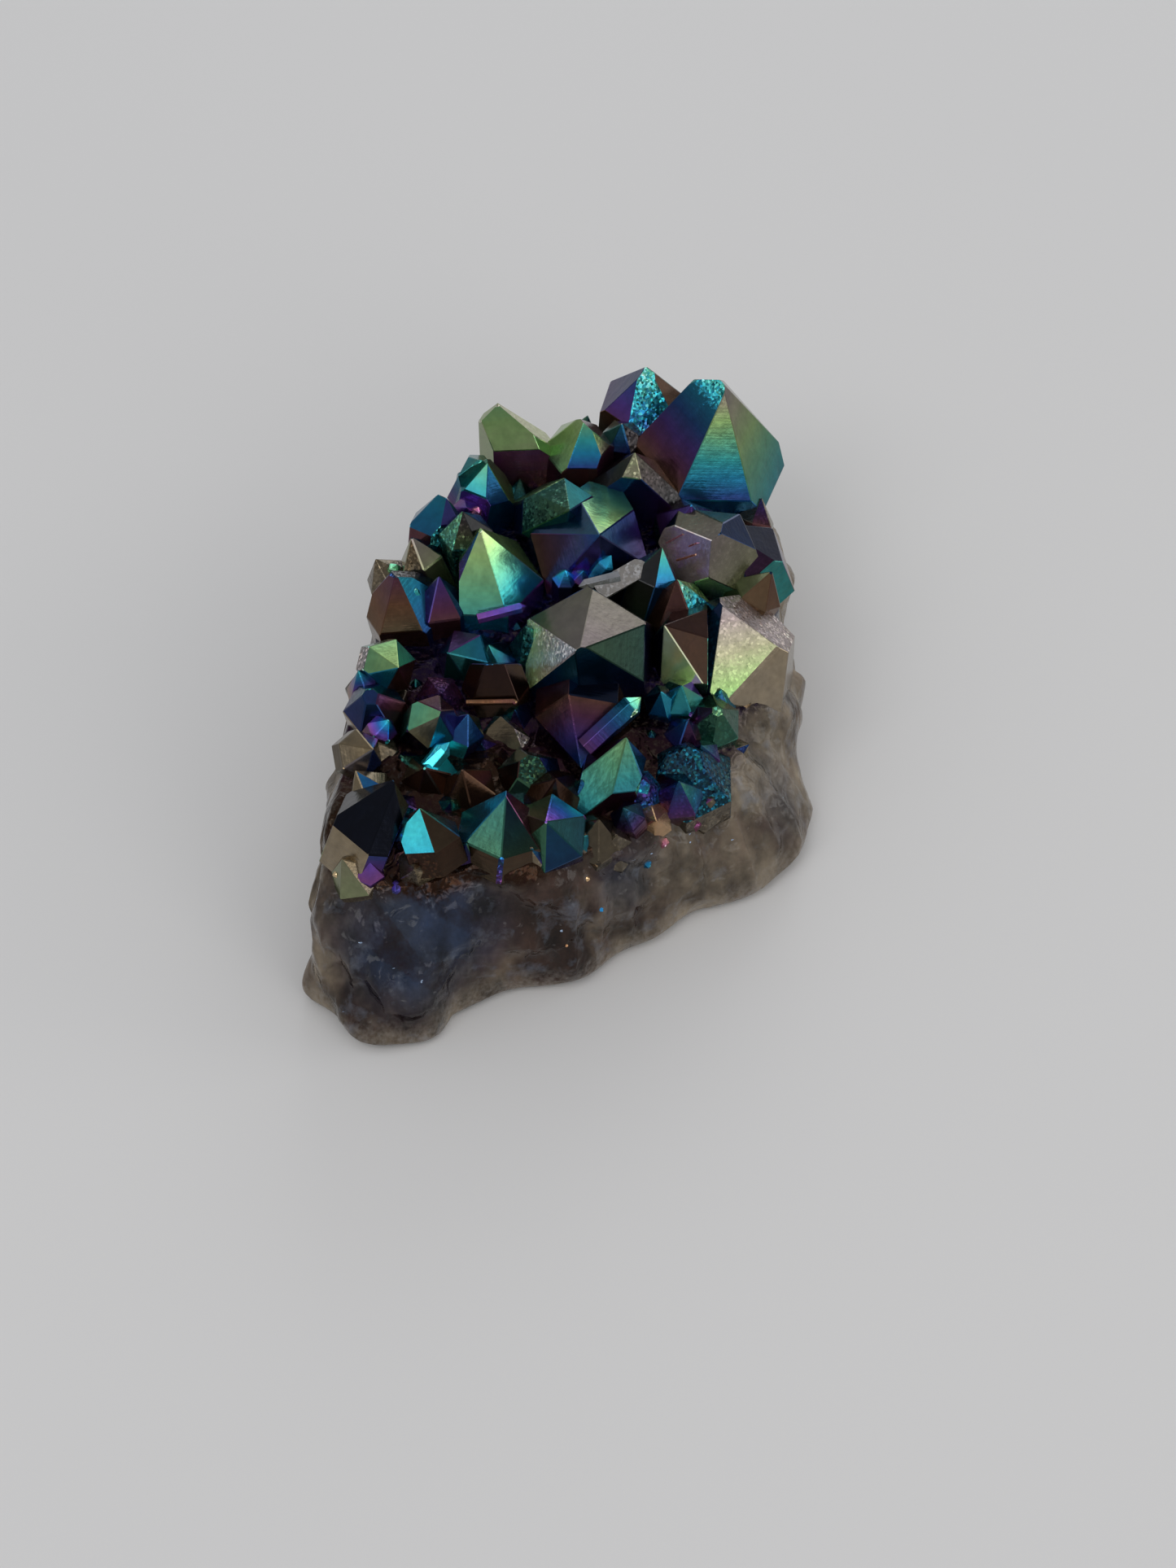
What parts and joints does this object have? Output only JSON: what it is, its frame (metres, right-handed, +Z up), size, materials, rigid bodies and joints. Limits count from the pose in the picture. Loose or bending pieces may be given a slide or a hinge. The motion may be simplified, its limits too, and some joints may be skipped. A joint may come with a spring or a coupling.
{
  "type": "crystal cluster",
  "caption": "Aura amethyst cluster: six-sided quartz points crowded on a broken slab of milky quartz, with a metal coating that shows thin-film colours.",
  "frame": {"origin": "centre of the specimen's box, on the flat underside it rests on", "axes": "+Z up out of the crystals, +Y to the back along the specimen's long way, +X to its right; the longest wall of bare quartz faces -Y"},
  "size_m": [0.0588, 0.0858, 0.0356],
  "materials": {
    "coated_quartz": "mirror-bright titanium film in thin-film colours on the crystal faces, fading to bare milky grey-brown quartz on the broken slab"
  },
  "bodies": {
    "root": {"amethyst_cluster": "coated_quartz"}
  },
  "joints": []
}
